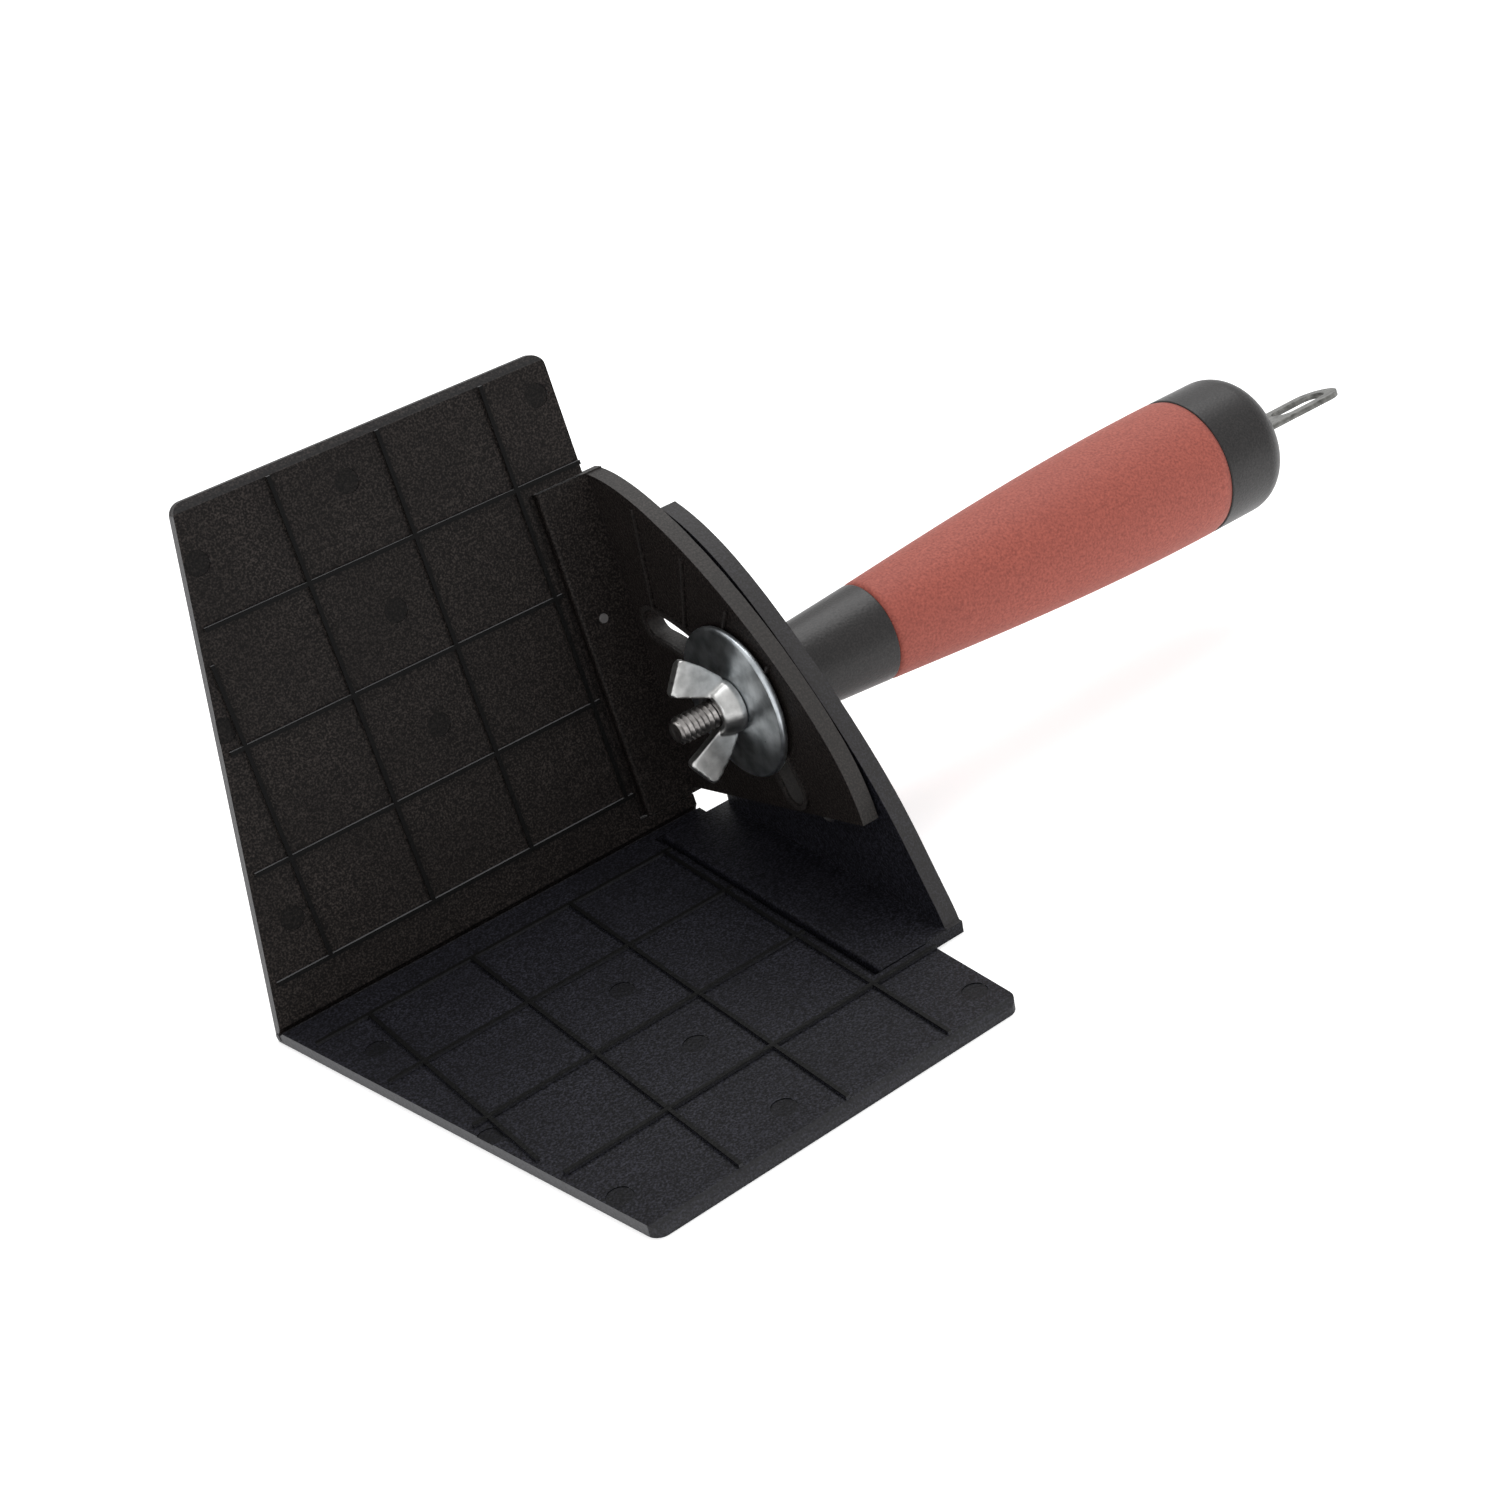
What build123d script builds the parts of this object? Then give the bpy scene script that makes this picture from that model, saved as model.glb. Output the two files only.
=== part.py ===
from build123d import *
import math
import os

# Folding corner tray with a screw-clamped handle: two ribbed wings joined by a
# moulded fold, one slotted end flap on each wing, and a handle whose stud runs
# through both slots and is clamped by a washer and a wing nut.  Millimetres.
#
# Frame: the bottom wing lies flat with its outer face on z = 0, the fold runs
# along X, +X points to the handle, and the origin is the centre of that face.

# --- driving dimensions of the tray --------------------------------------------------
WING_LENGTH = 109.2          # along the fold, from its front end to the ears
WING_WIDTH = 111.0           # from the fold axis to the outer edge
WING_T = 2.8                 # plate thickness
OPEN_ANGLE = 103.0           # between the two wings as drawn
FOLD_R = 1.0                 # radius of the bead that the wings turn about
FOLD_SLACK = 0.06            # running gap between the bead and the side wing
FOLD_LIP = 0.6               # the plates stop this far from the fold axis
TONGUE_W = 4.7               # beside the flaps each wing goes on as a tongue this wide
FOLD_BEVEL = 40.0            # slope of the plates' inner edges beside the fold
FRONT_SLANT = 21.2           # setback of the front edge at the outer corner
CORNER_R = 3.0
EDGE_BEVEL = (1.8, 1.0)      # width and depth of the bevel along the outer edge

# --- ribs and ejector marks on the inner faces ----------------------------------------
RIB_W = 0.9
RIB_H = 0.8
RIB_PITCH = 25.4
RIB_COLUMNS = [16.5 + RIB_PITCH * i for i in range(4)]
RIB_ROWS = [11.5] + [34.9 + RIB_PITCH * i for i in range(3)]
RIB_END = 109.2              # ribs stop short of the outer edge
RIB_FRONT_GAP = 1.5          # and short of the front edge
MARK_R = 2.7
MARK_DEPTH = 0.2
MARKS = [(12.1, 22.8), (13.8, 65.2), (57.6, 46.3), (57.6, 72.8), (57.6, 101.8), (21.8, 98.6), (104.8, 102.6)]

# --- end flaps ------------------------------------------------------------------------
GROOVE = (94.7, 97.0)        # the flap's living hinge lies in this groove
GROOVE_T = 0.6
STRIP_START = 4.9            # the flap's base strip starts here, beside the tongue
STRIP_END = 82.8             # and ends at the slit beside the ear
EAR_START = 83.2
FLAP_T = 4.0
FLAP_GAP = 0.8
SIDE_FLAP_X = 110.0          # front face of the side wing's flap
BOTTOM_FLAP_X = SIDE_FLAP_X + FLAP_T + FLAP_GAP
# the flap's bowed edge from its foot to its free corner: out across the wing, up from it
SIDE_BOW = [(82.8, -1.0), (81.9, 4.5), (79.9, 10.5), (73.2, 22.9), (53.8, 45.4), (32.6, 61.4), (17.8, 68.1),
            (7.4, 69.6)]
BOTTOM_BOW = [(82.8, -1.0), (81.0, 3.8), (77.8, 9.4), (70.8, 21.4), (52.3, 44.1), (38.0, 57.3), (18.6, 70.7),
              (3.2, 76.0)]
FREE_START = 6.1             # the straight free edge starts here, over the strip
CREASE_R = 0.8
SLOT_R = 48.8                # centre line of the slot, about the fold axis
SLOT_W = 7.0
SIDE_SLOT = (12.0, 75.5)     # angles of the slot's end centres from its own wing
BOTTOM_SLOT = (20.0, 78.0)
RIM_W = 1.0
RIM_H = 0.8
SPOKES = [(13.4, 77.0), (26.2, 71.8), (39.0, 68.4), (51.8, 67.4)]  # angle, outer radius
SPOKE_W = 0.6
NUB = (102.2, 51.6)          # moulding gate on the side flap's strip
NUB_R = 1.2

# --- stud, washer and wing nut (1/4 inch hardware) ------------------------------------
STUD_ANGLE = 54.5            # stud's direction from the bottom wing, about the fold
STUD_R = 3.175
STUD_TIP_X = 92.8
STUD_BURIED = 38.0           # length held inside the handle
WASHER_R = 17.5
WASHER_BORE_R = 3.6
WASHER_T = 1.6
SEAT_GAP = 0.05
NUT_BORE_R = STUD_R + 0.05
NUT_HUB_R = 6.2
NUT_NECK_R = 4.9
NUT_HUB_H = 5.2
NUT_WING_T = 2.5
NUT_TURN = 8.0               # upper wing's lean from upright to the side wing
CAPTIVE_AF = 11.1
CAPTIVE_H = 5.6

# --- handle ---------------------------------------------------------------------------
NECK_GAP = 0.25              # between the rear flap and the handle's mouth
NECK_R = 9.5
GRIP_START = 145.2
GRIP_END = 241.9
GRIP_WALL = 2.6
GRIP_R0 = 11.55              # radius at the neck
GRIP_R1 = 17.0               # radius at the cap
GRIP_PULLS = (30.0, 35.0)    # reach of the swelling curve's end tangents
GRIP_RISE = 2.6              # rise of the first tangent
CAP_END = 262.0
CAP_R = 17.05
CAP_NOSE_R = 7.0
CAP_SPIGOT = (5.5, 12.0)     # radius and length of the core's spigot in the cap
TAB_W = 12.7
TAB_T = 1.4
TAB_TILT = 18.0              # lean of the tab's flat, about the handle's axis
TAB_REACH = 293.9
TAB_HOLE = (16.0, 6.8)       # length and width of the hang hole

# --- planes ---------------------------------------------------------------------------
FRONT_X = -WING_LENGTH / 2
FOLD_Y = WING_WIDTH / 2
fold_point = (FRONT_X, FOLD_Y, FOLD_R)
angle = math.radians(OPEN_ANGLE)
# drawn from the front end of the fold: local x runs along it, local y out across the wing
outer_face = Plane(origin=(FRONT_X, FOLD_Y, 0), x_dir=(1, 0, 0), z_dir=(0, 0, -1))
inner_face = outer_face.offset(-WING_T)
# the mirror plane halfway between the two wings
halfway = Plane(origin=fold_point, x_dir=(1, 0, 0), z_dir=(0, 1 - math.cos(angle), math.sin(angle)))


def across(x):
    """Section plane x along the fold: local x out along the bottom wing, local y up."""
    return Plane(origin=(FRONT_X + x, FOLD_Y, FOLD_R), x_dir=(0, -1, 0), z_dir=(-1, 0, 0))


def polar(radius, degrees):
    return (radius * math.cos(math.radians(degrees)), radius * math.sin(math.radians(degrees)))


stud_y, stud_z = polar(SLOT_R, STUD_ANGLE)
stud_axis = Axis((0, FOLD_Y - stud_y, FOLD_R + stud_z), (1, 0, 0))


def along_stud(x):
    """Plane square to the stud, x along the fold: local x out to -Y, local y up."""
    return Plane(origin=(FRONT_X + x, FOLD_Y - stud_y, FOLD_R + stud_z), x_dir=(0, -1, 0), z_dir=(-1, 0, 0))


# upright plane that holds the stud's axis: local x along the fold, local y up from the axis
profile_plane = Plane(origin=(FRONT_X, FOLD_Y - stud_y, FOLD_R + stud_z), x_dir=(1, 0, 0), z_dir=(0, -1, 0))


def front_edge(y):
    """Distance of the slanted front edge behind the fold's front end."""
    return FRONT_SLANT * y / WING_WIDTH


def wing_plate(eye_radius):
    """The bottom wing, with its inner edge hollowed to eye_radius about the fold axis."""
    with BuildPart() as wing:
        with BuildSketch(outer_face):
            with BuildLine():
                Polyline(
                    (front_edge(FOLD_LIP), FOLD_LIP),
                    (FRONT_SLANT, WING_WIDTH),
                    (WING_LENGTH, WING_WIDTH),
                    (WING_LENGTH, EAR_START),
                    (GROOVE[0], EAR_START),
                    (GROOVE[0], TONGUE_W),
                    (WING_LENGTH, TONGUE_W),
                    (WING_LENGTH, FOLD_LIP),
                    close=True,
                )
            make_face()
        extrude(amount=-WING_T)
        outer_corners = wing.edges().filter_by(Axis.Z).group_by(Axis.Y)[0]
        fillet(outer_corners, CORNER_R)
        # bevel along the outer edge, on the inner side
        with BuildSketch(across(0)):
            bevel_w, bevel_h = EDGE_BEVEL
            top = WING_T - FOLD_R
            with BuildLine():
                Polyline(
                    (WING_WIDTH - bevel_w, top),
                    (WING_WIDTH + 1, top),
                    (WING_WIDTH + 1, top - bevel_h * (bevel_w + 1) / bevel_w),
                    close=True,
                )
            make_face()
        extrude(amount=-WING_LENGTH, mode=Mode.SUBTRACT)
        # bevelled inner edge beside the fold, hollowed round the bead
        with BuildSketch(across(0)):
            reach = 2 * WING_T
            with BuildLine():
                Polyline((0, 0), (reach, reach * math.tan(math.radians(FOLD_BEVEL))), (0, reach), close=True)
            make_face()
            Circle(eye_radius)
        extrude(amount=-WING_LENGTH, mode=Mode.SUBTRACT)
        # rows of ribs along the fold; the last one runs on over the ear
        with BuildSketch(inner_face):
            for row in RIB_ROWS:
                start = front_edge(row) + RIB_FRONT_GAP
                end = WING_LENGTH if row > EAR_START else GROOVE[0]
                with Locations(((start + end) / 2, row)):
                    Rectangle(end - start, RIB_W)
            # columns of ribs across the wing; the first runs out at the slanted front edge
            for column in RIB_COLUMNS:
                end = min(RIB_END, (column - RIB_FRONT_GAP) * WING_WIDTH / FRONT_SLANT)
                with Locations((column, (RIB_ROWS[0] + end) / 2)):
                    Rectangle(RIB_W, end - RIB_ROWS[0])
        extrude(amount=-RIB_H)
        with BuildSketch(inner_face):
            with Locations(*MARKS):
                Circle(MARK_R)
        extrude(amount=MARK_DEPTH, mode=Mode.SUBTRACT)
    return wing.part


def flap_web():
    """The thin living hinge in the groove between a wing and its flap."""
    with BuildPart() as web:
        with BuildSketch(outer_face):
            middle = ((GROOVE[0] + GROOVE[1]) / 2, (STRIP_START + STRIP_END) / 2)
            with Locations(middle):
                Rectangle(GROOVE[1] - GROOVE[0], STRIP_END - STRIP_START)
        extrude(amount=-GROOVE_T)
    return web.part


def end_flap(face_x, bow, slot_ends):
    """A flap of the bottom wing: a base strip behind the groove and a slotted upright plate."""
    strip_l = face_x + FLAP_T - GROOVE[1]
    with BuildPart() as flap:
        # base strip, in line with the wing
        with BuildSketch(outer_face):
            with Locations((GROOVE[1] + strip_l / 2, (STRIP_START + STRIP_END) / 2)):
                Rectangle(strip_l, STRIP_END - STRIP_START)
        extrude(amount=-WING_T)
        # upright plate: bowed outer edge, straight free edge
        with BuildSketch(across(face_x)):
            with BuildLine():
                Spline(*bow)
                Polyline(bow[-1], (FREE_START, WING_T - FOLD_R), (FREE_START, -FOLD_R), bow[0])
            make_face()
        extrude(amount=-FLAP_T)
        crease = flap.edges().filter_by(Axis.Y).group_by(Axis.Z)[-1].sort_by(Axis.X)[0]
        fillet(crease, CREASE_R)
        # arc slot for the stud
        with BuildSketch(across(face_x)):
            with BuildLine() as slot_line:
                CenterArc((0, 0), SLOT_R, slot_ends[0], slot_ends[1] - slot_ends[0])
            SlotArc(slot_line.line.edge(), SLOT_W)
        extrude(amount=-FLAP_T, mode=Mode.SUBTRACT)
    return flap.part


def mirrored(part):
    return mirror(part, about=halfway, mode=Mode.PRIVATE)


# --- bottom wing and the fold ---------------------------------------------------------
with BuildPart() as bottom_wing:
    add(wing_plate(FOLD_R))

with BuildPart() as fold_web:
    with BuildSketch(across(0)):
        Circle(FOLD_R)
    extrude(amount=-WING_LENGTH)

with BuildPart() as bottom_flap_web:
    add(flap_web())

with BuildPart() as bottom_flap:
    add(end_flap(BOTTOM_FLAP_X, BOTTOM_BOW, BOTTOM_SLOT))

# --- side wing, the mirror image, with its flap in front of the other -------------------
with BuildPart() as side_wing:
    add(mirrored(wing_plate(FOLD_R + FOLD_SLACK)))

with BuildPart() as side_flap_web:
    add(mirrored(flap_web()))

with BuildPart() as ribbed_flap:
    add(end_flap(SIDE_FLAP_X, SIDE_BOW, SIDE_SLOT))
    # raised rim round the slot and short spokes outside it, which the washer bears on
    with BuildSketch(across(SIDE_FLAP_X)):
        with BuildLine() as rim_line:
            CenterArc((0, 0), SLOT_R, SIDE_SLOT[0], SIDE_SLOT[1] - SIDE_SLOT[0])
        SlotArc(rim_line.line.edge(), SLOT_W + 2 * RIM_W)
        for spoke, outer_r in SPOKES:
            inner_r = SLOT_R + SLOT_W / 2 + RIM_W / 2
            middle_r = (inner_r + outer_r) / 2
            with Locations(Location((*polar(middle_r, spoke), 0), (0, 0, spoke))):
                Rectangle(outer_r - inner_r, SPOKE_W)
        SlotArc(rim_line.line.edge(), SLOT_W, mode=Mode.SUBTRACT)
    extrude(amount=RIM_H)
    # moulding gate left standing on the base strip
    with BuildSketch(inner_face):
        with Locations(NUB):
            Circle(NUB_R)
    extrude(amount=-RIB_H, taper=12)

with BuildPart() as side_flap:
    add(mirrored(ribbed_flap.part))

# --- stud and its captive nut, clamp hardware -------------------------------------------
neck_x = BOTTOM_FLAP_X + FLAP_T + NECK_GAP
seat_x = SIDE_FLAP_X - RIM_H - SEAT_GAP
washer_x = seat_x - WASHER_T
nut_x = washer_x - SEAT_GAP

with BuildPart() as threaded_stud:
    with BuildSketch(along_stud(STUD_TIP_X)):
        Circle(STUD_R)
    extrude(amount=-(neck_x + STUD_BURIED - STUD_TIP_X))
    chamfer(threaded_stud.edges().sort_by(Axis.X)[0], 0.8)

with BuildPart() as captive_nut:
    with BuildSketch(along_stud(neck_x)):
        RegularPolygon(CAPTIVE_AF / 2, 6, major_radius=False)
        Circle(STUD_R, mode=Mode.SUBTRACT)
    extrude(amount=-CAPTIVE_H)

with BuildPart() as fender_washer:
    with BuildSketch(along_stud(washer_x)):
        Circle(WASHER_R)
        Circle(WASHER_BORE_R, mode=Mode.SUBTRACT)
    extrude(amount=-WASHER_T)
    fillet(fender_washer.edges().filter_by(GeomType.CIRCLE).sort_by(Axis.X)[0], 0.4)

with BuildPart() as wing_nut:
    # hub: a cone that narrows towards the stud's tip
    with BuildSketch(profile_plane):
        with BuildLine():
            Polyline(
                (nut_x, 0),
                (nut_x, NUT_HUB_R),
                (nut_x - 1.2, NUT_HUB_R),
                (nut_x - NUT_HUB_H, NUT_NECK_R),
                (nut_x - NUT_HUB_H, 0),
                close=True,
            )
        make_face()
    revolve(axis=stud_axis)
    # two upswept wings in one plane through the axis
    leaning = profile_plane.rotated((-NUT_TURN, 0, 0))
    with BuildSketch(leaning):
        for side in (1, -1):
            with BuildLine():
                root = (nut_x - 0.6, side * 2.0)
                heel = (nut_x - 0.6, side * 5.6)
                heel_end = (nut_x - 4.6, side * 11.0)
                tip_low = (nut_x - 9.3, side * 14.8)
                tip_high = (nut_x - 13.9, side * 8.2)
                throat = (nut_x - NUT_HUB_H, side * 4.0)
                Line(root, heel)
                ThreePointArc(heel, (nut_x - 1.9, side * 8.6), heel_end)
                Line(heel_end, tip_low)
                ThreePointArc(tip_low, (nut_x - 12.1, side * 11.9), tip_high)
                Line(tip_high, throat)
                Line(throat, root)
            make_face()
    extrude(amount=NUT_WING_T / 2, both=True)
    with BuildSketch(along_stud(nut_x)):
        Circle(NUT_BORE_R)
    extrude(amount=2 * NUT_HUB_H, mode=Mode.SUBTRACT)

# --- handle -----------------------------------------------------------------------------
core_r = GRIP_R0 - GRIP_WALL
spigot_r, spigot_l = CAP_SPIGOT

with BuildPart() as handle_core:
    with BuildSketch(profile_plane):
        with BuildLine():
            Polyline(
                (neck_x, 0),
                (neck_x, NECK_R - 0.6),
                (neck_x + 0.6, NECK_R),
                (GRIP_START, GRIP_R0),
                (GRIP_START, core_r),
                (GRIP_END, GRIP_R1 - GRIP_WALL),
                (GRIP_END, spigot_r),
                (GRIP_END + spigot_l, spigot_r),
                (GRIP_END + spigot_l, 0),
                close=True,
            )
        make_face()
    revolve(axis=stud_axis)
    with BuildSketch(along_stud(neck_x)):
        Circle(STUD_R)
    extrude(amount=-STUD_BURIED, mode=Mode.SUBTRACT)
    with BuildSketch(along_stud(neck_x)):
        RegularPolygon(CAPTIVE_AF / 2, 6, major_radius=False)
    extrude(amount=-CAPTIVE_H, mode=Mode.SUBTRACT)

with BuildPart() as soft_grip:
    with BuildSketch(profile_plane):
        with BuildLine():
            Bezier(
                (GRIP_START, GRIP_R0),
                (GRIP_START + GRIP_PULLS[0], GRIP_R0 + GRIP_RISE),
                (GRIP_END - GRIP_PULLS[1], GRIP_R1),
                (GRIP_END, GRIP_R1),
            )
            Polyline(
                (GRIP_END, GRIP_R1),
                (GRIP_END, GRIP_R1 - GRIP_WALL),
                (GRIP_START, core_r),
                (GRIP_START, GRIP_R0),
            )
        make_face()
    revolve(axis=stud_axis)

tab_start = GRIP_END + spigot_l
tab_plane = profile_plane.rotated((90 - TAB_TILT, 0, 0))

with BuildPart() as hang_tab:
    with BuildSketch(tab_plane):
        straight_end = TAB_REACH - TAB_W / 2
        with Locations(((tab_start + straight_end) / 2, 0)):
            Rectangle(straight_end - tab_start, TAB_W)
        with Locations((straight_end, 0)):
            Circle(TAB_W / 2)
        with Locations((TAB_REACH - 3.2 - TAB_HOLE[0] / 2, 0)):
            SlotOverall(TAB_HOLE[0], TAB_HOLE[1], mode=Mode.SUBTRACT)
    extrude(amount=TAB_T / 2, both=True)

with BuildPart() as butt_cap:
    with BuildSketch(profile_plane):
        with BuildLine():
            nose_x = CAP_END - CAP_NOSE_R
            Line((GRIP_END, 0), (GRIP_END, CAP_R))
            Line((GRIP_END, CAP_R), (nose_x, CAP_R))
            RadiusArc((nose_x, CAP_R), (CAP_END, CAP_R - CAP_NOSE_R), CAP_NOSE_R)
            Line((CAP_END, CAP_R - CAP_NOSE_R), (CAP_END, 0))
            Line((CAP_END, 0), (GRIP_END, 0))
        make_face()
    revolve(axis=stud_axis)
    with BuildSketch(along_stud(GRIP_END)):
        Circle(spigot_r)
    extrude(amount=-spigot_l, mode=Mode.SUBTRACT)
    with BuildSketch(tab_plane):
        with Locations(((tab_start + CAP_END) / 2, 0)):
            Rectangle(CAP_END - tab_start + 0.01, TAB_W)
    extrude(amount=TAB_T / 2, both=True, mode=Mode.SUBTRACT)

# --- output -----------------------------------------------------------------------------
os.makedirs("parts", exist_ok=True)

bottom_wing.part.label = "bottom_wing"
export_step(bottom_wing.part, "parts/bottom_wing.step")
side_wing.part.label = "side_wing"
export_step(side_wing.part, "parts/side_wing.step")
fold_web.part.label = "fold_web"
export_step(fold_web.part, "parts/fold_web.step")
bottom_flap_web.part.label = "bottom_flap_web"
export_step(bottom_flap_web.part, "parts/bottom_flap_web.step")
side_flap_web.part.label = "side_flap_web"
export_step(side_flap_web.part, "parts/side_flap_web.step")
bottom_flap.part.label = "bottom_flap"
export_step(bottom_flap.part, "parts/bottom_flap.step")
side_flap.part.label = "side_flap"
export_step(side_flap.part, "parts/side_flap.step")
threaded_stud.part.label = "threaded_stud"
export_step(threaded_stud.part, "parts/threaded_stud.step")
captive_nut.part.label = "captive_nut"
export_step(captive_nut.part, "parts/captive_nut.step")
fender_washer.part.label = "fender_washer"
export_step(fender_washer.part, "parts/fender_washer.step")
wing_nut.part.label = "wing_nut"
export_step(wing_nut.part, "parts/wing_nut.step")
handle_core.part.label = "handle_core"
export_step(handle_core.part, "parts/handle_core.step")
soft_grip.part.label = "soft_grip"
export_step(soft_grip.part, "parts/soft_grip.step")
butt_cap.part.label = "butt_cap"
export_step(butt_cap.part, "parts/butt_cap.step")
hang_tab.part.label = "hang_tab"
export_step(hang_tab.part, "parts/hang_tab.step")
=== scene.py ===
import math

import bmesh
import bpy
from mathutils import Matrix, Vector


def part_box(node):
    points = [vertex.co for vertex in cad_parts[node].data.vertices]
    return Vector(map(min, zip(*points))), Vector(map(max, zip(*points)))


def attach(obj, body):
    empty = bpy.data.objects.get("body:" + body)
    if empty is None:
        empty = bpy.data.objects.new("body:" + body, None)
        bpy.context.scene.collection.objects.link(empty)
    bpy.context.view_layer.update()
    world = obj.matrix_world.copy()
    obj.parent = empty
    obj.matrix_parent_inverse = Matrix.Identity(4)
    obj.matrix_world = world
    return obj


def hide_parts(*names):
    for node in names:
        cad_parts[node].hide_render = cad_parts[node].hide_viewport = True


# Folding corner tray with a screw-clamped handle.  The tray's wings, flaps and
# living hinges are the CAD nodes, with softened edges and a moulded finish.  The
# stud, washer, wing nut, handle, grip, cap and hang tab are detailed meshes here.
# Metres, in the CAD frame: the fold runs along X and +X points to the handle.

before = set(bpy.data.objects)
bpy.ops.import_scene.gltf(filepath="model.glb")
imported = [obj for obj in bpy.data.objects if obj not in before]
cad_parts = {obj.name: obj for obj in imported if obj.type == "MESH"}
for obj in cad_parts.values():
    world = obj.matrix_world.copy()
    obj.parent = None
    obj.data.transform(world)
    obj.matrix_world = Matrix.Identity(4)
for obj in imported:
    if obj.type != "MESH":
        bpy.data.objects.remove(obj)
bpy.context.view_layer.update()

MM = 0.001

# --- camera ---------------------------------------------------------------------------
CAMERA_TARGET = (0.0513, 0.0207, 0.0324)
CAMERA_DISTANCE = 0.5
CAMERA_AZIMUTH = -30.93
CAMERA_ELEVATION = 30.27
CAMERA_ROLL = -11.44
LENS = 56.71

# --- tray -----------------------------------------------------------------------------
OPEN_ANGLE = 103.0           # between the two wings
FOLD_R = 1.0 * MM            # the fold's axis lies this far over the outer faces
WING_WIDTH = 111.0 * MM      # from the fold's axis to the outer edge
WING_T = 2.8 * MM
FLAP_T = 4.0 * MM
FRONT_SLANT = 10.8           # lean of the front edges from square to the fold
# tints of the black plastic, all painted light: a painted highlight on bowed faces and raised rims, a
# painted highlight where an edge catches the light, and painted shade
RIM_HIGHLIGHT = (0.075, 0.072, 0.07)
EDGE_HIGHLIGHT = (0.14, 0.14, 0.145)
PAINTED_SHADE = (0.002, 0.002, 0.002)

# --- hardware -------------------------------------------------------------------------
THREAD_PITCH = 25.4 / 20 * MM
THREAD_DEPTH = 0.72 * MM
THREAD_STEPS = 36            # steps of the helix in one turn
DISHED = (0.7 * MM, 0.25 * MM)  # border and depth of the hollow in the stud's rolled end
NUT_HUB_R = 6.15 * MM
NUT_NECK_R = 4.9 * MM         # the hub narrows to this at its far end
NUT_HUB_H = 5.15 * MM
NUT_TURN = 8.0               # lean of the nut's upper wing from upright
NUT_WING_T = 2.4 * MM
WASHER_BORE = 3.6 * MM
TAB_W = 12.6 * MM
TAB_T = 1.3 * MM
TAB_TILT = 18.0              # lean of the tab's flat
TAB_HOLE = (16.0 * MM, 6.8 * MM)
TAB_HOLE_MARGIN = 3.2 * MM
TAB_SLACK = 0.25 * MM         # gap round the tab where it enters the cap

# --- handle ---------------------------------------------------------------------------
NECK_R = 9.5 * MM
GRIP_R0 = 11.55 * MM         # radius where the grip meets the neck
GRIP_PULLS = (30.0 * MM, 35.0 * MM)
GRIP_RISE = 2.6 * MM
GRIP_WALL = 2.6 * MM
CAP_NOSE_R = 7.0 * MM

stud_low, stud_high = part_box("threaded_stud")
AXIS_Y = (stud_low.y + stud_high.y) / 2
AXIS_Z = (stud_low.z + stud_high.z) / 2
STUD_R = (stud_high.z - stud_low.z) / 2
FOLD_POINT = (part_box("fold_web")[0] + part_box("fold_web")[1]) / 2


# --- mesh helpers -----------------------------------------------------------------------
def new_piece(name, mesh):
    """An object from a bmesh or a mesh, smooth shaded."""
    if isinstance(mesh, bmesh.types.BMesh):
        bmesh.ops.recalc_face_normals(mesh, faces=mesh.faces)
        data = bpy.data.meshes.new(name)
        mesh.to_mesh(data)
        mesh.free()
    else:
        data = mesh
    for polygon in data.polygons:
        polygon.use_smooth = True
    piece = bpy.data.objects.new(name, data)
    bpy.context.scene.collection.objects.link(piece)
    return piece


def applied(piece):
    """Turns the piece's modifiers into its mesh."""
    graph = bpy.context.evaluated_depsgraph_get()
    result = bpy.data.meshes.new_from_object(piece.evaluated_get(graph))
    piece.modifiers.clear()
    piece.data = result
    for polygon in result.polygons:
        polygon.use_smooth = True


def weigh_normals(piece):
    """Flat faces keep their own normals, and the small rounds between them shade smoothly."""
    weighted = piece.modifiers.new("normals", "WEIGHTED_NORMAL")
    weighted.weight = 100
    weighted.keep_sharp = False


def rounded(corners, steps=6):
    """Closed outline through (x, y, radius) corners, each rounded by an arc."""
    points = []
    count = len(corners)
    for i, (x, y, radius) in enumerate(corners):
        here = Vector((x, y))
        if radius == 0:
            points.append(here)
            continue
        before = (Vector(corners[i - 1][:2]) - here).normalized()
        after = (Vector(corners[(i + 1) % count][:2]) - here).normalized()
        half = before.angle(after) / 2
        centre = here + (before + after).normalized() * (radius / math.sin(half))
        start = here + before * (radius / math.tan(half)) - centre
        end = here + after * (radius / math.tan(half)) - centre
        sweep = math.atan2(start.x * end.y - start.y * end.x, start.dot(end))
        for step in range(steps + 1):
            a = sweep * step / steps
            turned = Vector((
                start.x * math.cos(a) - start.y * math.sin(a),
                start.x * math.sin(a) + start.y * math.cos(a),
            ))
            points.append(centre + turned)
    return points


def on_axis(x, radius, turn):
    """The point at x along the stud's axis, radius out from it, turned from upright."""
    return Vector((x, AXIS_Y - radius * math.sin(turn), AXIS_Z + radius * math.cos(turn)))


def lathe(name, outline, segments=128):
    """The closed outline of (x, radius) points turned about the stud's axis."""
    mesh = bmesh.new()
    rings = []
    for x, radius in outline:
        if radius < 1e-7:
            pole = mesh.verts.new(on_axis(x, 0, 0))
            rings.append([pole] * segments)
        else:
            turns = [2 * math.pi * i / segments for i in range(segments)]
            rings.append([mesh.verts.new(on_axis(x, radius, turn)) for turn in turns])
    for ring, following in zip(rings, rings[1:] + rings[:1]):
        for i in range(segments):
            j = (i + 1) % segments
            corners = list(dict.fromkeys([ring[i], ring[j], following[j], following[i]]))
            if len(corners) > 2:
                mesh.faces.new(corners)
    return new_piece(name, mesh)


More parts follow.
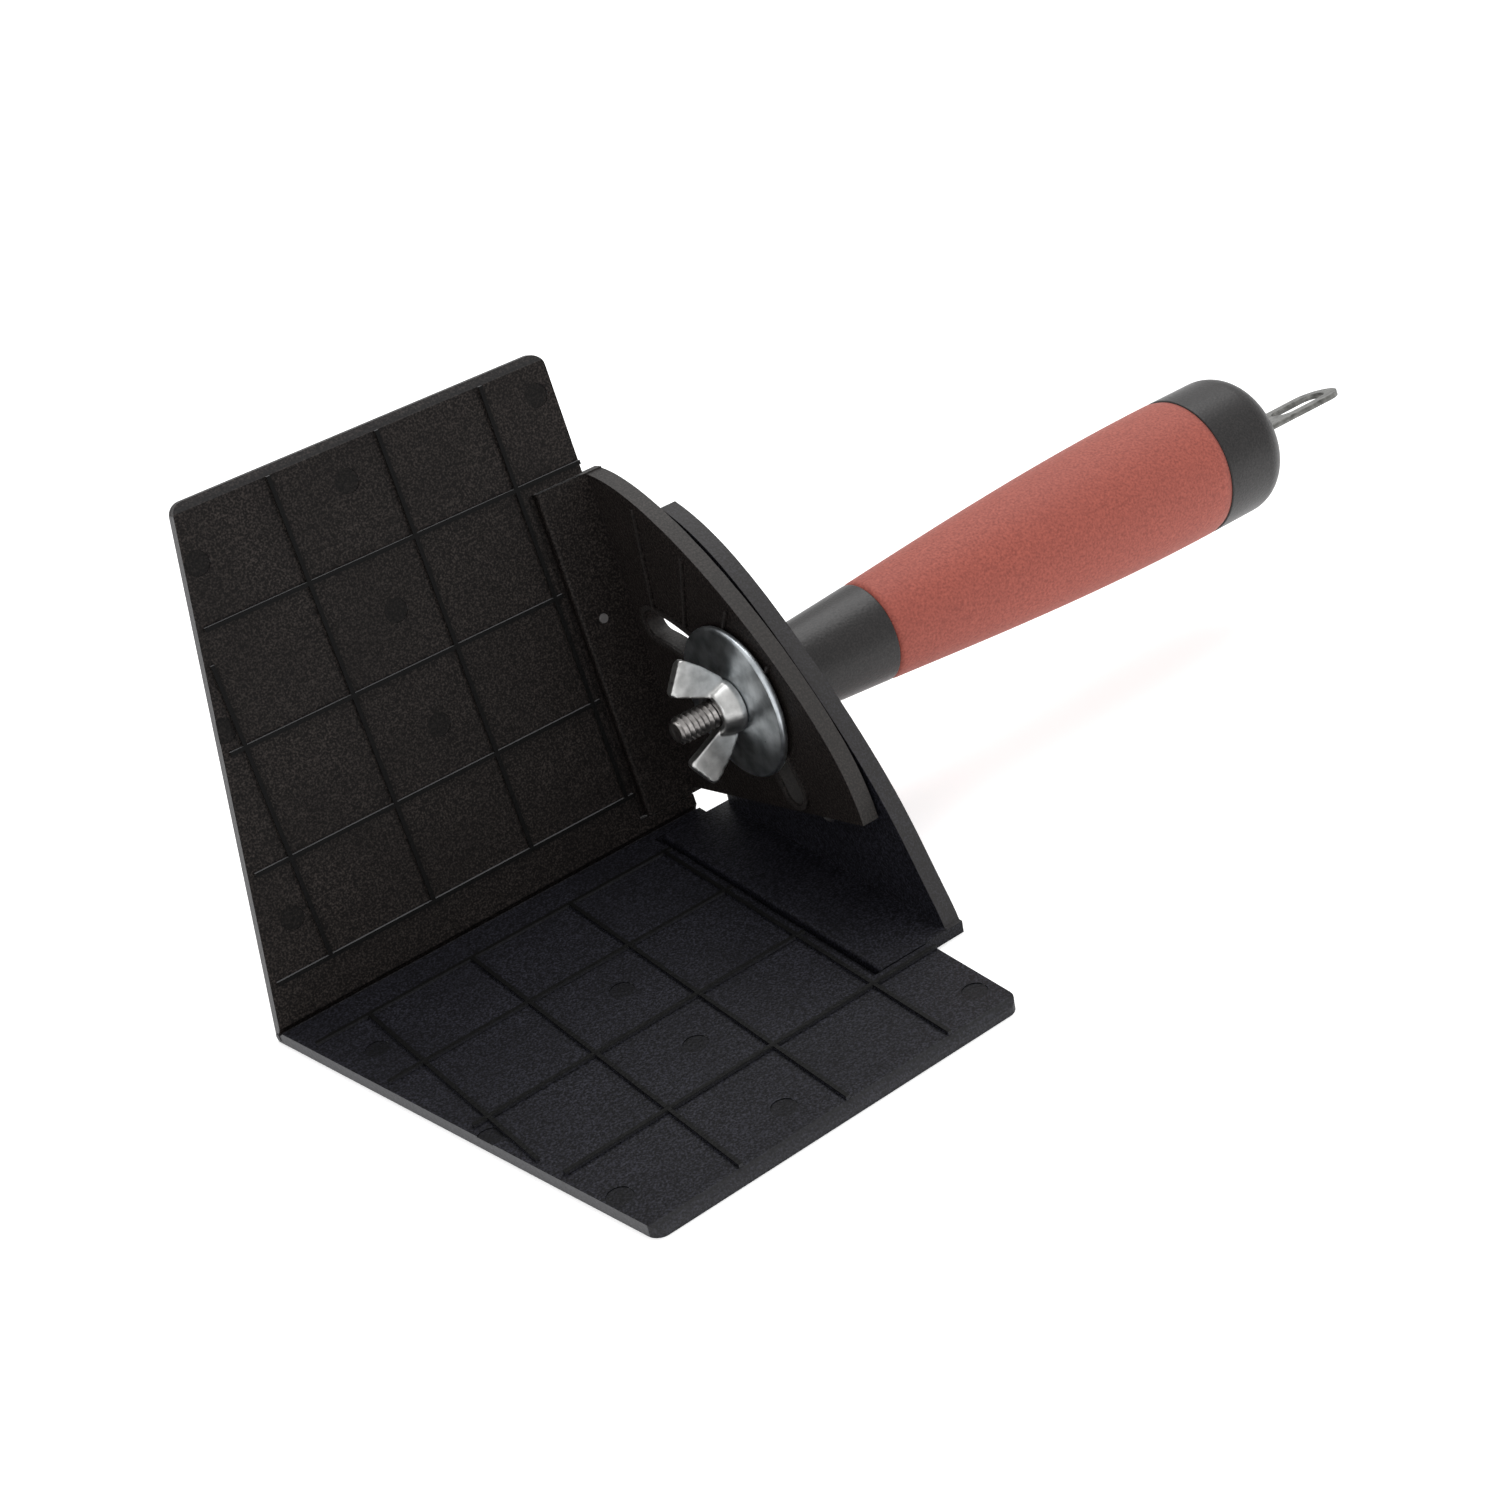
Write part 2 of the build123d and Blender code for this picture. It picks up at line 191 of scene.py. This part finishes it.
def slab(outline, thickness, edge, segments=3):
    """A flat plate of the outline, in the XY plane, with its rims rounded by edge."""
    mesh = bmesh.new()
    loops = [[mesh.verts.new((x, y, side * thickness / 2)) for x, y in outline] for side in (-1, 1)]
    mesh.faces.new(loops[0][::-1])
    mesh.faces.new(loops[1])
    count = len(outline)
    for i in range(count):
        j = (i + 1) % count
        mesh.faces.new((loops[0][i], loops[0][j], loops[1][j], loops[1][i]))
    rims = [e for e in mesh.edges if abs(e.verts[0].co.z - e.verts[1].co.z) < 1e-9]
    bmesh.ops.bevel(mesh, geom=rims, offset=edge, segments=segments, profile=0.5, affect="EDGES")
    return mesh


# --- materials --------------------------------------------------------------------------
class Finish:
    """A node material, built up from object-space noise so that it rides with its piece."""

    def __init__(self, name, roughness, metallic=0.0, specular=0.5):
        self.material = bpy.data.materials.new(name)
        self.material.use_nodes = True
        self.tree = self.material.node_tree
        self.shader = self.tree.nodes["Principled BSDF"]
        self.shader.inputs["Roughness"].default_value = roughness
        self.shader.inputs["Metallic"].default_value = metallic
        self.shader.inputs["Specular IOR Level"].default_value = specular
        coordinates = self.node("ShaderNodeTexCoord")
        self.place = coordinates.outputs["Object"]
        self.facing = coordinates.outputs["Normal"]
        self.height = None

    def node(self, kind):
        return self.tree.nodes.new(kind)

    def link(self, output, socket):
        self.tree.links.new(output, socket)

    def stretched(self, scale):
        """Object coordinates squeezed by scale along each axis."""
        mapping = self.node("ShaderNodeMapping")
        mapping.inputs["Scale"].default_value = scale
        self.link(self.place, mapping.inputs["Vector"])
        return mapping.outputs["Vector"]

    def noise(self, size, detail=2.0, place=None):
        """Noise from 0 to 1 whose lumps are about size across."""
        texture = self.node("ShaderNodeTexNoise")
        texture.inputs["Scale"].default_value = 1 / size
        texture.inputs["Detail"].default_value = detail
        self.link(place or self.place, texture.inputs["Vector"])
        return texture.outputs["Fac"]

    def pebbles(self, size):
        """Rounded cells about size across, high in their middles."""
        texture = self.node("ShaderNodeTexVoronoi")
        texture.feature = "SMOOTH_F1"
        texture.inputs["Scale"].default_value = 1 / size
        self.link(self.place, texture.inputs["Vector"])
        return texture.outputs["Distance"]

    def ramp(self, value, low, high):
        """Colour that runs from one (position, colour) stop to the other."""
        ramp = self.node("ShaderNodeValToRGB")
        for element, (position, colour) in zip(ramp.color_ramp.elements, (low, high)):
            element.position = position
            element.color = (*colour, 1)
        self.link(value, ramp.inputs["Fac"])
        return ramp.outputs["Color"]

    def tinted(self, colour, factor, tint):
        """The colour, changed towards a tint where factor is high."""
        mix = self.node("ShaderNodeMix")
        mix.data_type = "RGBA"
        self.link(factor, mix.inputs["Factor"])
        self.link(colour, mix.inputs["A"])
        mix.inputs["B"].default_value = (*tint, 1)
        return mix.outputs["Result"]

    def spread(self, value, low, high):
        """The value from 0 to 1 moved to the range low to high."""
        spread = self.node("ShaderNodeMapRange")
        spread.inputs["To Min"].default_value = low
        spread.inputs["To Max"].default_value = high
        self.link(value, spread.inputs["Value"])
        return spread.outputs["Result"]

    def along(self, direction, vector=None):
        """How far the surface point, or a given vector, reaches along a direction."""
        dot = self.node("ShaderNodeVectorMath")
        dot.operation = "DOT_PRODUCT"
        self.link(vector or self.place, dot.inputs[0])
        dot.inputs[1].default_value = direction
        return dot.outputs["Value"]

    def step(self, value, start, end, most=1.0):
        """0 up to start, rising to most at end."""
        reach = self.node("ShaderNodeMapRange")
        reach.inputs["From Min"].default_value = start
        reach.inputs["From Max"].default_value = end
        reach.inputs["To Max"].default_value = most
        self.link(value, reach.inputs["Value"])
        return reach.outputs["Result"]

    def both(self, first, second):
        product = self.node("ShaderNodeMath")
        product.operation = "MULTIPLY"
        self.link(first, product.inputs[0])
        self.link(second, product.inputs[1])
        return product.outputs["Value"]

    def paint(self, colour):
        self.link(colour, self.shader.inputs["Base Color"])

    def roughen(self, value):
        self.link(value, self.shader.inputs["Roughness"])

    def raise_by(self, value, distance, strength=1.0):
        """Adds a bump on top of the ones so far."""
        bump = self.node("ShaderNodeBump")
        bump.inputs["Distance"].default_value = distance
        bump.inputs["Strength"].default_value = strength
        self.link(value, bump.inputs["Height"])
        if self.height is not None:
            self.link(self.height, bump.inputs["Normal"])
        self.height = bump.outputs["Normal"]
        self.link(self.height, self.shader.inputs["Normal"])


def moulded_plastic(name, dark, speck):
    """Black polypropylene with a fine pebbled mould grain, and its colour so far."""
    finish = Finish(name, 0.5, specular=0.12)
    grain = finish.noise(0.42 * MM, detail=2.0)
    cloud = finish.noise(16 * MM, detail=2.0)
    colour = finish.ramp(grain, (0.44, dark), (0.72, speck))
    colour = finish.tinted(colour, finish.spread(cloud, -0.3, 0.6), dark)
    finish.paint(colour)
    finish.roughen(finish.spread(grain, 0.60, 0.40))
    finish.raise_by(finish.noise(2.5 * MM), 0.05 * MM, 0.5)
    finish.raise_by(finish.pebbles(0.7 * MM), 0.12 * MM, 0.7)
    return finish, colour


def wing_plastic(name, dark, speck, up, out, shine):
    """The same on a wing, with painted shade in the sunk marks and on the rib tops, and painted
    highlights on the edges and rib sides that face out.
    """
    finish, colour = moulded_plastic(name, dark, speck)
    height = finish.along(up)
    floor = FOLD_POINT.dot(up) - FOLD_R + WING_T
    # painted shade inside the sunk marks
    sunk = finish.both(
        finish.step(height, floor - 0.04 * MM, floor - 0.12 * MM, 0.55),
        finish.step(height, floor - 0.5 * MM, floor - 0.3 * MM),
    )
    colour = finish.tinted(colour, sunk, PAINTED_SHADE)
    # painted shade on the rib tops, standing in for the dark shadow lines of the ribs
    colour = finish.tinted(colour, finish.step(height, floor + 0.45 * MM, floor + 0.7 * MM), PAINTED_SHADE)
    outward = finish.along(out, finish.facing)
    # painted highlight on the rib sides that face out
    rib_side = finish.both(
        finish.step(outward, 0.75, 0.95, shine),
        finish.step(height, floor - 0.1 * MM, floor + 0.1 * MM),
    )
    colour = finish.tinted(colour, rib_side, EDGE_HIGHLIGHT)
    rim = FOLD_POINT.dot(out) + WING_WIDTH
    # painted highlight along the faces of the outer edge
    outer_edge = finish.both(
        finish.step(outward, 0.3, 0.5, 0.1),
        finish.step(finish.along(out), rim - 2.5 * MM, rim - 2 * MM),
    )
    colour = finish.tinted(colour, outer_edge, EDGE_HIGHLIGHT)
    # painted highlight on the faces of the slanted front edge
    frontal = finish.along(front_of(out), finish.facing)
    colour = finish.tinted(colour, finish.step(frontal, 0.988, 0.997, 0.5), EDGE_HIGHLIGHT)
    finish.paint(colour)
    return finish.material


def flap_plastic(name, dark, speck, face_x):
    """The same on a flap, with a painted highlight along the bowed edge of its plate."""
    finish, colour = moulded_plastic(name, dark, speck)
    # painted highlight on the bowed faces of the plate that face up
    bowed = finish.both(
        finish.step(finish.along((0, -0.6, 0.8), finish.facing), 0.6, 0.85, 0.4),
        finish.step(finish.along((1, 0, 0)), face_x - 0.1 * MM, face_x + 0.1 * MM),
    )
    colour = finish.tinted(colour, bowed, RIM_HIGHLIGHT)
    finish.paint(colour)
    return finish, colour


def clamped_flap_plastic(name, dark, speck, face_x, up):
    """The same on the side flap, with painted highlights on the raised rim and spokes and on a low band
    of the strip ahead of the plate.
    """
    finish, colour = flap_plastic(name, dark, speck, face_x)
    height = finish.along(up)
    floor = FOLD_POINT.dot(up) - FOLD_R + WING_T
    forward = finish.along((-1, 0, 0))
    # painted highlight on the raised rim and spokes
    proud = finish.both(
        finish.step(forward, 0.3 * MM - face_x, 0.6 * MM - face_x, 0.12),
        finish.step(height, floor + 2 * MM, floor + 3 * MM),
    )
    colour = finish.tinted(colour, proud, RIM_HIGHLIGHT)
    # painted highlight on a low band of the strip ahead of the plate
    strip_glint = finish.both(
        finish.step(height, floor + 0.3 * MM, floor + 0.6 * MM),
        finish.step(height, floor + 1.6 * MM, floor + 1.2 * MM),
    )
    strip_glint = finish.both(strip_glint, finish.step(forward, 3 * MM - face_x, 4 * MM - face_x))
    finish.paint(finish.tinted(colour, strip_glint, (0.11, 0.105, 0.105)))
    return finish.material


def handle_plastic(name):
    """Matte black thermoplastic of the neck and the butt cap."""
    finish = Finish(name, 0.4, specular=0.38)
    grain = finish.noise(0.45 * MM, detail=2.0)
    finish.paint(finish.ramp(grain, (0.35, (0.0046, 0.0040, 0.0040)), (0.7, (0.018, 0.0155, 0.0155))))
    finish.roughen(finish.spread(grain, 0.46, 0.34))
    finish.raise_by(finish.pebbles(0.6 * MM), 0.07 * MM, 0.6)
    return finish.material


def soft_rubber(name):
    """Matte brick-red overmould, finely speckled."""
    finish = Finish(name, 0.62, specular=0.35)
    shader = finish.shader
    shader.inputs["Sheen Weight"].default_value = 0.06
    shader.inputs["Sheen Roughness"].default_value = 0.5
    shader.inputs["Sheen Tint"].default_value = (1.0, 0.72, 0.66, 1)
    grain = finish.noise(0.55 * MM, detail=3.0)
    cloud = finish.noise(22 * MM, detail=2.0)
    colour = finish.ramp(grain, (0.3, (0.205, 0.043, 0.031)), (0.7, (0.365, 0.086, 0.059)))
    finish.paint(finish.tinted(colour, finish.spread(cloud, -0.1, 0.35), (0.25, 0.058, 0.045)))
    finish.roughen(finish.spread(grain, 0.74, 0.56))
    finish.raise_by(finish.pebbles(0.65 * MM), 0.09 * MM, 0.7)
    return finish.material


def plated_steel(name, dark, light, roughness, mottle=6 * MM, brushed=None):
    """Bright zinc plate: mottled, faintly scratched metal."""
    finish = Finish(name, roughness, metallic=1.0)
    patches = finish.noise(mottle, detail=4.0)
    finish.paint(finish.ramp(patches, (0.32, dark), (0.66, light)))
    streaks = finish.noise(1.0, detail=3.0, place=finish.stretched(brushed or (900, 900, 900)))
    finish.roughen(finish.spread(streaks, roughness - 0.08, roughness + 0.14))
    finish.raise_by(patches, 0.03 * MM, 0.35)
    finish.raise_by(streaks, 0.02 * MM, 0.5)
    return finish.material


def dress(piece, body, slot, material, *nodes):
    """Puts a finished piece on its body with its material, and hides its CAD nodes. The slot argument is
    not used.
    """
    piece.data.materials.clear()
    piece.data.materials.append(material)
    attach(piece, body)
    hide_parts(*nodes)


# --- stud, washer, wing nut ---------------------------------------------------------------
def make_stud():
    """A rolled 1/4-20 thread: its section swept along a helix, then cut square at both ends."""
    crest = STUD_R - 0.02 * MM
    root = crest - THREAD_DEPTH
    tip_r = root - 0.1 * MM
    section = ((0.0, crest), (0.16, crest), (0.46, root), (0.70, root))
    start = stud_low.x - THREAD_PITCH
    turns = math.ceil((stud_high.x - start) / THREAD_PITCH) + 1
    mesh = bmesh.new()
    rows = []
    for step in range(turns * THREAD_STEPS + 1):
        turn = step / THREAD_STEPS
        row = []
        for along, radius in section:
            x = start + (turn + along) * THREAD_PITCH
            limit = max(tip_r, tip_r + x - stud_low.x - 0.05 * MM)
            row.append(mesh.verts.new(on_axis(x, min(radius, limit), 2 * math.pi * turn)))
        rows.append(row)
    last = len(section) - 1
    for step in range(len(rows) - 1):
        here, there = rows[step], rows[step + 1]
        for k in range(last):
            mesh.faces.new((here[k], there[k], there[k + 1], here[k + 1]))
        if step + 1 + THREAD_STEPS < len(rows):
            next_here, next_there = rows[step + THREAD_STEPS], rows[step + 1 + THREAD_STEPS]
            mesh.faces.new((here[last], there[last], next_there[0], next_here[0]))
    for x, outward in ((stud_low.x, -1), (stud_high.x, 1)):
        geometry = [*mesh.verts, *mesh.edges, *mesh.faces]
        bmesh.ops.bisect_plane(
            mesh, geom=geometry, plane_co=(x, 0, 0), plane_no=(outward, 0, 0), clear_outer=True
        )
        rim = [e for e in mesh.edges if e.is_boundary and abs(e.verts[0].co.x - x) < 1e-6]
        bmesh.ops.edgeloop_fill(mesh, edges=rim)
    # the rolled end is slightly dished
    face = min(mesh.faces, key=lambda f: f.calc_center_median().x)
    bmesh.ops.inset_region(mesh, faces=[face], thickness=DISHED[0], depth=-DISHED[1])
    piece = new_piece("stud_thread", mesh)
    material = plated_steel("stud_steel", (0.19, 0.18, 0.175), (0.34, 0.325, 0.315), 0.3, mottle=2 * MM)
    dress(piece, "handle", "zinc_steel", material, "threaded_stud")


def make_washer():
    """Stamped washer, rolled over at its front edge."""
    low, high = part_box("fender_washer")
    radius = (high.z - low.z) / 2 - 0.02 * MM
    outline = rounded([
        (low.x, WASHER_BORE + 0.05 * MM, 0.3 * MM),
        (low.x, radius, 0.75 * MM),
        (high.x, radius, 0.35 * MM),
        (high.x, WASHER_BORE + 0.05 * MM, 0.2 * MM),
    ])
    piece = lathe("washer_disc", outline, 160)
    weigh_normals(piece)
    material = plated_steel("washer_zinc", (0.30, 0.325, 0.345), (0.60, 0.635, 0.66), 0.3, mottle=4 * MM)
    dress(piece, "washer", "zinc_steel", material, "fender_washer")


def make_wing_nut():
    """Cold-forged wing nut: cone hub and two upswept plates, blended where they meet."""
    seat_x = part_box("wing_nut")[1].x
    hub_outline = rounded([
        (seat_x, 0, 0),
        (seat_x, NUT_HUB_R, 0.35 * MM),
        (seat_x - 1.4 * MM, NUT_HUB_R, 0.8 * MM),
        (seat_x - NUT_HUB_H, NUT_NECK_R, 0.5 * MM),
        (seat_x - NUT_HUB_H, 0, 0),
    ])
    piece = lathe("wing_nut_casting", hub_outline, 96)
    mesh = bmesh.new()
    mesh.from_mesh(piece.data)
    # one wing's outline: x back from the seat towards the tip, y out from the axis
    wing_outline = rounded([
        (0.9 * MM, 1.0 * MM, 0),
        (0.9 * MM, 6.9 * MM, 2.0 * MM),
        (5.0 * MM, 11.3 * MM, 9.0 * MM),
        (9.4 * MM, 15.0 * MM, 1.1 * MM),
        (14.1 * MM, 8.0 * MM, 1.0 * MM),
        (5.0 * MM, 3.8 * MM, 1.2 * MM),
        (4.4 * MM, 1.0 * MM, 0),
    ], steps=8)
    for side in (1, -1):
        plate = slab([(x, side * y) for x, y in wing_outline], NUT_WING_T, 0.55 * MM)
        lean = math.radians(NUT_TURN)
        across = Vector((0, math.sin(lean), math.cos(lean)))
        normal = Vector((0, math.cos(lean), -math.sin(lean)))
        for vert in plate.verts:
            x, y, z = vert.co
            vert.co = Vector((seat_x - x, AXIS_Y, AXIS_Z)) + across * y + normal * z
        bmesh.ops.recalc_face_normals(plate, faces=plate.faces)
        data = bpy.data.meshes.new("plate")
        plate.to_mesh(data)
        plate.free()
        mesh.from_mesh(data)
        bpy.data.meshes.remove(data)
    mesh.to_mesh(piece.data)
    mesh.free()
    remesh = piece.modifiers.new("one_skin", "REMESH")
    remesh.mode = "VOXEL"
    remesh.voxel_size = 0.22 * MM
    blend = piece.modifiers.new("blend", "SMOOTH")
    blend.factor = 0.5
    blend.iterations = 7
    applied(piece)
    bore = lathe("bore", rounded([
        (seat_x + 1 * MM, 0, 0),
        (seat_x + 1 * MM, STUD_R + 0.05 * MM, 0),
        (seat_x - NUT_HUB_H + 0.5 * MM, STUD_R + 0.05 * MM, 0),
        (seat_x - NUT_HUB_H - 0.2 * MM, STUD_R + 0.75 * MM, 0),
        (seat_x - NUT_HUB_H - 2 * MM, STUD_R + 0.75 * MM, 0),
        (seat_x - NUT_HUB_H - 2 * MM, 0, 0),
    ]), 64)
    cut = piece.modifiers.new("bore", "BOOLEAN")
    cut.operation = "DIFFERENCE"
    cut.object = bore
    applied(piece)
    bpy.data.objects.remove(bore)
    material = plated_steel("nut_zinc", (0.36, 0.36, 0.355), (0.60, 0.60, 0.59), 0.3, mottle=3 * MM)
    dress(piece, "wing_nut", "zinc_steel", material, "wing_nut")


# --- handle -------------------------------------------------------------------------------
def make_neck():
    start_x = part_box("handle_core")[0].x
    grip_low, grip_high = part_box("soft_grip")
    outline = rounded([
        (start_x, 0, 0),
        (start_x, NECK_R, 0.9 * MM),
        (grip_low.x - 0.1 * MM, GRIP_R0 - 0.05 * MM, 0.4 * MM),
        (grip_low.x - 0.1 * MM, GRIP_R0 - GRIP_WALL, 0),
        (grip_high.x, (grip_high.z - grip_low.z) / 2 - GRIP_WALL - 0.05 * MM, 0),
        (grip_high.x, 0, 0),
    ])
    piece = lathe("handle_neck", outline)
    weigh_normals(piece)
    dress(piece, "handle", "black_handle", handle_plastic("neck_plastic"), "handle_core")


def bezier(ends, pulls, steps):
    """Points on the curve between two (x, y) ends with two (x, y) pulls."""
    a, d = map(Vector, ends)
    b, c = map(Vector, pulls)
    points = []
    for i in range(steps + 1):
        t = i / steps
        u = 1 - t
        points.append(u**3 * a + 3 * u * u * t * b + 3 * u * t * t * c + t**3 * d)
    return points


def make_grip():
    low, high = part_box("soft_grip")
    cap_r = (high.z - low.z) / 2
    start = (low.x, GRIP_R0)
    end = (high.x, cap_r)
    pulls = ((low.x + GRIP_PULLS[0], GRIP_R0 + GRIP_RISE), (high.x - GRIP_PULLS[1], cap_r))
    skin = bezier((start, end), pulls, 72)
    lip = 0.35 * MM
    swell = [Vector((low.x + 0.02 * MM, GRIP_R0 - lip)), *skin[1:-1], Vector((high.x, cap_r - lip))]
    inner = [Vector((high.x, cap_r - GRIP_WALL)), Vector((low.x, GRIP_R0 - GRIP_WALL))]
    piece = lathe("rubber_grip", swell + inner, 160)
    dress(piece, "handle", "red_grip", soft_rubber("grip_rubber"), "soft_grip")


def make_cap():
    low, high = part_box("butt_cap")
    radius = (high.z - low.z) / 2
    outline = rounded([
        (low.x, 0, 0),
        (low.x, radius - 0.05 * MM, 0.4 * MM),
        (high.x, radius - 0.05 * MM, CAP_NOSE_R),
        (high.x, 0, 0),
    ], steps=20)
    piece = lathe("handle_butt", outline, 160)
    opening = stadium(high.x - 6 * MM, high.x + 6 * MM, TAB_W + 2 * TAB_SLACK)
    slit = new_piece("slit", slab(opening, TAB_T + 2 * TAB_SLACK, 0))
    slit.data.transform(tab_placement())
    cut = piece.modifiers.new("slit", "BOOLEAN")
    cut.operation = "DIFFERENCE"
    cut.object = slit
    applied(piece)
    bpy.data.objects.remove(slit)
    weigh_normals(piece)
    dress(piece, "handle", "black_handle", handle_plastic("butt_plastic"), "butt_cap")


def stadium(start, end, width):
    """Square at start, half round at end."""
    r = width / 2
    points = [(start, r), (start, -r)]
    for i in range(33):
        a = -math.pi / 2 + math.pi * i / 32
        points.append((end - r + r * math.cos(a), r * math.sin(a)))
    return points


def tab_placement():
    """The tab's XY plane turned about the handle's axis by its lean."""
    return Matrix.Translation((0, AXIS_Y, AXIS_Z)) @ Matrix.Rotation(math.radians(180 - TAB_TILT), 4, "X")


def make_tab():
    low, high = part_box("hang_tab")
    plate = new_piece("hang_loop", slab(stadium(low.x, high.x, TAB_W), TAB_T, 0.5 * MM, 4))
    length, width = TAB_HOLE
    r = width / 2
    ends = (high.x - TAB_HOLE_MARGIN - length + r, high.x - TAB_HOLE_MARGIN - r)
    outline = []
    for i in range(50):
        a = -math.pi / 2 + 2 * math.pi * i / 50
        middle = ends[1] if math.cos(a) > 0 else ends[0]
        outline.append((middle + r * math.cos(a), r * math.sin(a)))
    hole = new_piece("hole", slab(outline, 4 * TAB_T, 0))
    cut = plate.modifiers.new("hole", "BOOLEAN")
    cut.operation = "DIFFERENCE"
    cut.object = hole
    applied(plate)
    bpy.data.objects.remove(hole)
    plate.data.transform(tab_placement())
    weigh_normals(plate)
    material = plated_steel("tab_steel", (0.08, 0.08, 0.075), (0.19, 0.19, 0.18), 0.42, mottle=2 * MM)
    dress(plate, "handle", "zinc_steel", material, "hang_tab")


# --- tray -----------------------------------------------------------------------------------
def front_of(outward):
    """Direction that a wing's slanted front edge faces, outward being across the wing."""
    slant = math.radians(FRONT_SLANT)
    return Vector((-math.cos(slant), 0, 0)) + outward * math.sin(slant)


def finish_tray():
    """Softened moulding edges and the pebbled finish on the wings, webs and flaps."""
    # the one black plastic in two tones as painted light: warm on the side wing, its web and flap, cool
    # on the bottom ones, for how the light falls on each wing
    warm = ((0.0045, 0.0036, 0.0034), (0.040, 0.033, 0.030))
    cool = ((0.0034, 0.0033, 0.0044), (0.028, 0.028, 0.038))
    creased = ((0.025, 0.024, 0.026), (0.070, 0.069, 0.074))
    bottom_up, bottom_out = Vector((0, 0, 1)), Vector((0, -1, 0))
    angle = math.radians(OPEN_ANGLE)
    side_up = Vector((0, -math.sin(angle), -math.cos(angle)))
    side_out = Vector((0, -math.cos(angle), math.sin(angle)))
    front_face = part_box("side_flap")[1].x - FLAP_T
    rear_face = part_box("bottom_flap")[1].x - FLAP_T
    materials = {
        "bottom_wing": wing_plastic("bottom_plastic", *cool, bottom_up, bottom_out, 0.12),
        "bottom_flap_web": moulded_plastic("bottom_web_plastic", *cool)[0].material,
        "bottom_flap": flap_plastic("bottom_flap_plastic", *cool, rear_face)[0].material,
        "fold_web": moulded_plastic("fold_plastic", *creased)[0].material,
        "side_wing": wing_plastic("side_plastic", *warm, side_up, side_out, 0.8),
        "side_flap_web": moulded_plastic("side_web_plastic", *warm)[0].material,
        "side_flap": clamped_flap_plastic("side_flap_plastic", *warm, front_face, side_up),
    }
    for name, material in materials.items():
        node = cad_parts[name]
        node.data.materials.clear()
        node.data.materials.append(material)
        merge = node.modifiers.new("flats", "DECIMATE")
        merge.decimate_type = "DISSOLVE"
        merge.angle_limit = math.radians(2)
        bevel = node.modifiers.new("edges", "BEVEL")
        bevel.width = (0.12 if name.endswith("web") else 0.25) * MM
        bevel.segments = 2
        bevel.limit_method = "ANGLE"
        bevel.angle_limit = math.radians(35)
        weigh_normals(node)


def finish_hidden():
    """The captive nut, out of sight in the neck."""
    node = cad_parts["captive_nut"]
    node.data.materials.clear()
    node.data.materials.append(plated_steel("captive_zinc", (0.4, 0.4, 0.4), (0.6, 0.6, 0.6), 0.35))


# --- stage ------------------------------------------------------------------------------------
def make_stage():
    mesh = bmesh.new()
    bmesh.ops.create_grid(mesh, x_segments=1, y_segments=1, size=6)
    floor = new_piece("floor", mesh)
    paper = bpy.data.materials.new("pale_paper")
    paper.use_nodes = True
    shader = paper.node_tree.nodes["Principled BSDF"]
    shader.inputs["Base Color"].default_value = (0.93, 0.93, 0.93, 1)
    shader.inputs["Roughness"].default_value = 0.9
    shader.inputs["Specular IOR Level"].default_value = 0.1
    shader.inputs["Emission Color"].default_value = (1, 1, 1, 1)
    shader.inputs["Emission Strength"].default_value = 0.34
    floor.data.materials.append(paper)
    floor.location.z = -0.05 * MM


def area_light(name, place, size, power):
    """A square soft box aimed at the tray."""
    data = bpy.data.lights.new(name, "AREA")
    data.size = size
    data.energy = power
    light = bpy.data.objects.new(name, data)
    light.location = place
    light.rotation_euler = (Vector(CAMERA_TARGET) - Vector(place)).to_track_quat("-Z", "Y").to_euler()
    bpy.context.scene.collection.objects.link(light)


def make_light():
    world = bpy.data.worlds.new("studio")
    world.use_nodes = True
    background = world.node_tree.nodes["Background"]
    background.inputs["Color"].default_value = (1, 1, 1, 1)
    background.inputs["Strength"].default_value = 0.92
    scene = bpy.context.scene
    scene.world = world
    scene.view_settings.view_transform = "Standard"
    area_light("overhead_box", (0.45, 0.35, 1.1), 0.9, 8)
    area_light("front_box", (-0.9, -0.9, 0.5), 0.4, 1.5)


def make_camera():
    data = bpy.data.cameras.new("camera")
    data.lens = LENS
    camera = bpy.data.objects.new("camera", data)
    turn = (
        Matrix.Rotation(math.radians(CAMERA_AZIMUTH), 4, "Z")
        @ Matrix.Rotation(math.radians(90 - CAMERA_ELEVATION), 4, "X")
        @ Matrix.Rotation(math.radians(CAMERA_ROLL), 4, "Z")
    )
    back = turn @ Vector((0, 0, 1))
    camera.matrix_world = Matrix.Translation(Vector(CAMERA_TARGET) + back * CAMERA_DISTANCE) @ turn
    bpy.context.scene.collection.objects.link(camera)
    bpy.context.scene.camera = camera


make_camera()
make_light()
make_stage()
finish_tray()
finish_hidden()
make_stud()
make_washer()
make_wing_nut()
make_neck()
make_grip()
make_cap()
make_tab()
